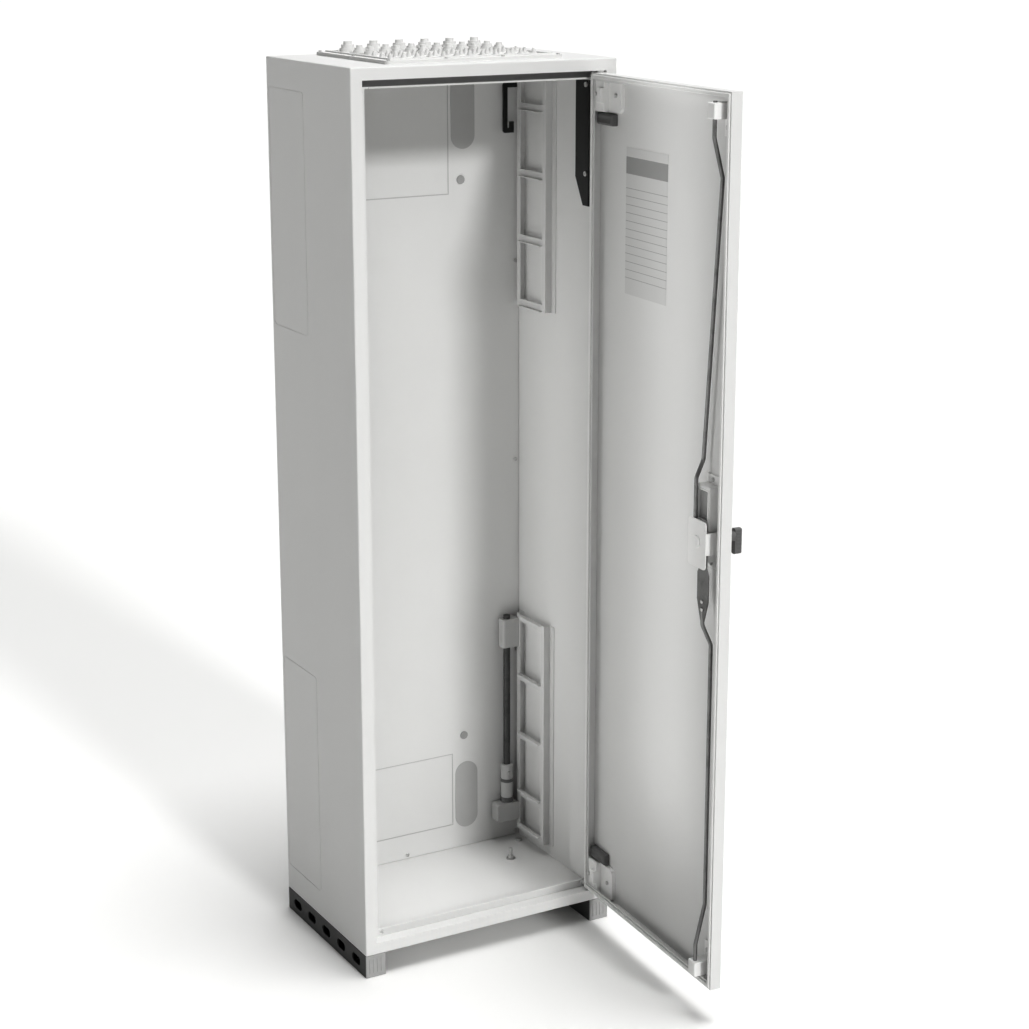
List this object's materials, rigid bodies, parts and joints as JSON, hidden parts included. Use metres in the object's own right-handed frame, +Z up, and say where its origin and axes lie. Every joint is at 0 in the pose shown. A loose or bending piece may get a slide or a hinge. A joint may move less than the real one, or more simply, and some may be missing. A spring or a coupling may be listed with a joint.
{
  "type": "electrical distribution cabinet",
  "caption": "Tall floor-standing sheet-steel distribution cabinet with an open inset door, rod lock, roof cable-entry plate and slotted foot rails.",
  "frame": {"origin": "on the floor under the middle of the body's footprint", "axes": "+X to the right seen from the front, +Y to the back, +Z up; the door opens towards -Y"},
  "size_m": [0.6018, 0.9283, 1.929],
  "materials": {
    "painted_shell": "satin textured powder coat, pale grey-white",
    "painted_inner": "satin powder coat",
    "pale_plastic": "matt moulded plastic",
    "seal": "foamed sealing strip",
    "zinc_steel": "bright zinc plated",
    "rod_steel": "drawn steel, dull",
    "dark_steel": "dark grey coating",
    "rail_steel": "dark grey powder coat",
    "black_plastic": "matt black",
    "cast_white": "painted die casting",
    "card": "plain grey card"
  },
  "bodies": {
    "cabinet": {"cabinet_body": "painted_shell", "rear_panel": "painted_shell", "rear_oblong_plugs": "pale_plastic", "rear_panel_screws": "zinc_steel", "roof_entry_plate": "pale_plastic", "roof_entry_gasket": "seal", "roof_entry_screws": "zinc_steel", "large_grommets": "pale_plastic", "medium_grommets": "pale_plastic", "small_grommets": "pale_plastic", "foot_rail_right": "rail_steel", "foot_rail_left": "rail_steel", "rail_end_caps": "rail_steel", "foot_bolts": "zinc_steel", "foot_nuts": "zinc_steel", "lower_side_plate_right": "painted_inner", "lower_side_plate_left": "painted_inner", "upper_side_plate_right": "painted_inner", "upper_side_plate_left": "painted_inner", "mounting_strut_right": "dark_steel", "mounting_strut_left": "dark_steel", "strut_head_bracket_right": "dark_steel", "strut_head_bracket_left": "dark_steel", "strut_foot_clamp_right": "dark_steel", "strut_foot_clamp_left": "dark_steel", "clamp_screw_right": "zinc_steel", "clamp_screw_left": "zinc_steel", "corner_hook_right": "black_plastic", "corner_hook_left": "black_plastic", "hinge_side_guard": "black_plastic", "guard_screws": "zinc_steel", "earth_stud": "zinc_steel", "earth_nut": "zinc_steel", "upper_hinge_bush": "zinc_steel", "lower_hinge_bush": "zinc_steel"},
    "door": {"door_panel": "painted_shell", "door_gasket": "seal", "document_card": "card", "door_stud_nuts": "zinc_steel", "upper_hinge_block": "cast_white", "lower_hinge_block": "cast_white", "upper_hinge_pin": "zinc_steel", "lower_hinge_pin": "zinc_steel", "lock_case": "painted_inner", "lock_cover": "painted_inner", "upper_rod_guide": "pale_plastic", "lower_rod_guide": "pale_plastic", "handle_escutcheon": "black_plastic"},
    "handle": {"outer_handle": "black_plastic", "lock_spindle": "zinc_steel", "lock_cam": "zinc_steel", "cam_screw": "zinc_steel"},
    "upper_rod": {"upper_lock_rod": "rod_steel"},
    "lower_rod": {"lower_lock_rod": "rod_steel"}
  },
  "joints": [
    {"name": "door_hinge", "type": "hinge", "parent": "cabinet", "child": "door", "pos_m": [0.2645, -0.1935, 0.975], "axis": [0, 0, 1], "range_deg": [-86.5, 25]},
    {"name": "handle_turn", "type": "hinge", "parent": "door", "child": "handle", "pos_m": [0.2422, -0.66452, 1.008], "axis": [0.9981, -0.061, 0], "range_deg": [0, 90]},
    {"name": "upper_rod_slide", "type": "slide", "parent": "door", "child": "upper_rod", "axis": [0, 0, 1], "range_m": [0, 0.02546]},
    {"name": "lower_rod_slide", "type": "slide", "parent": "door", "child": "lower_rod", "axis": [0, 0, -1], "range_m": [0, 0.02546]}
  ],
  "couplings": [
    {"joint": "handle_turn", "follows": "upper_rod_slide", "rad_per_m": 61.706},
    {"joint": "lower_rod_slide", "follows": "upper_rod_slide", "ratio": 1}
  ]
}
